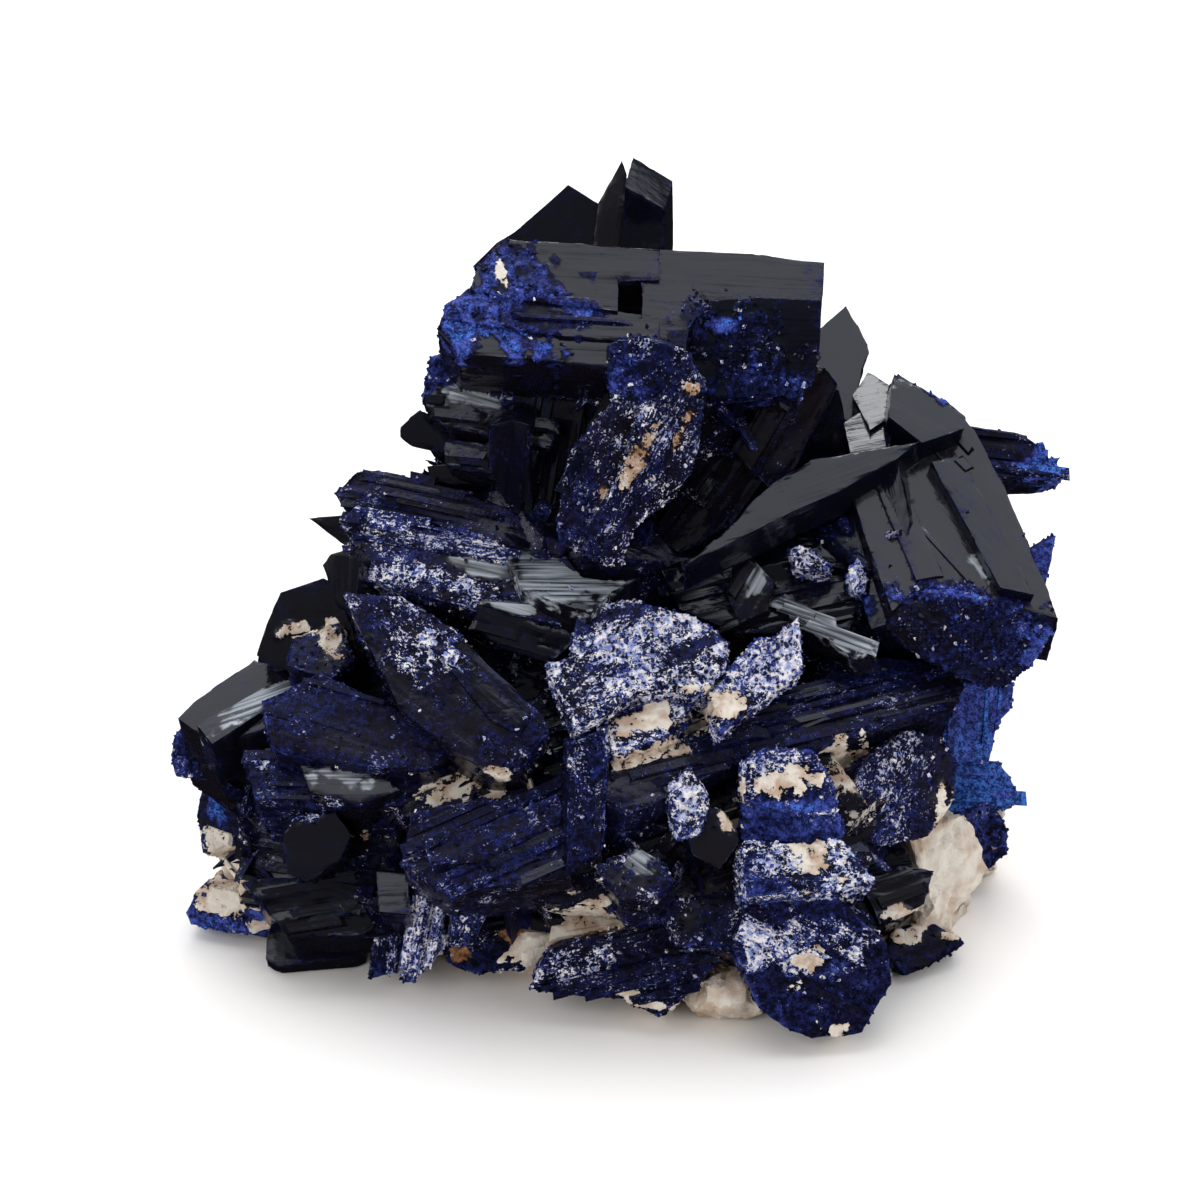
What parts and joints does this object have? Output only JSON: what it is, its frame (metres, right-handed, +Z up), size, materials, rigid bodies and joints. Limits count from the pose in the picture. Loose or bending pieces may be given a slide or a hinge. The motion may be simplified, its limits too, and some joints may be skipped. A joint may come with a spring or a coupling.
{
  "type": "azurite specimen",
  "caption": "Mineral specimen: dark blue bladed azurite crystals grown together in a mound on a lump of pale clay, cut flat underneath.",
  "frame": {"origin": "near the middle of the flat cut that the specimen rests on", "axes": "+Z up, +X to the right and -Y toward an observer who faces the display side"},
  "size_m": [0.0905, 0.0728, 0.0725],
  "materials": {
    "azurite": "gloss",
    "clay": "matte"
  },
  "bodies": {
    "root": {"azurite_cluster": "azurite", "clay_matrix": "clay"}
  },
  "joints": []
}
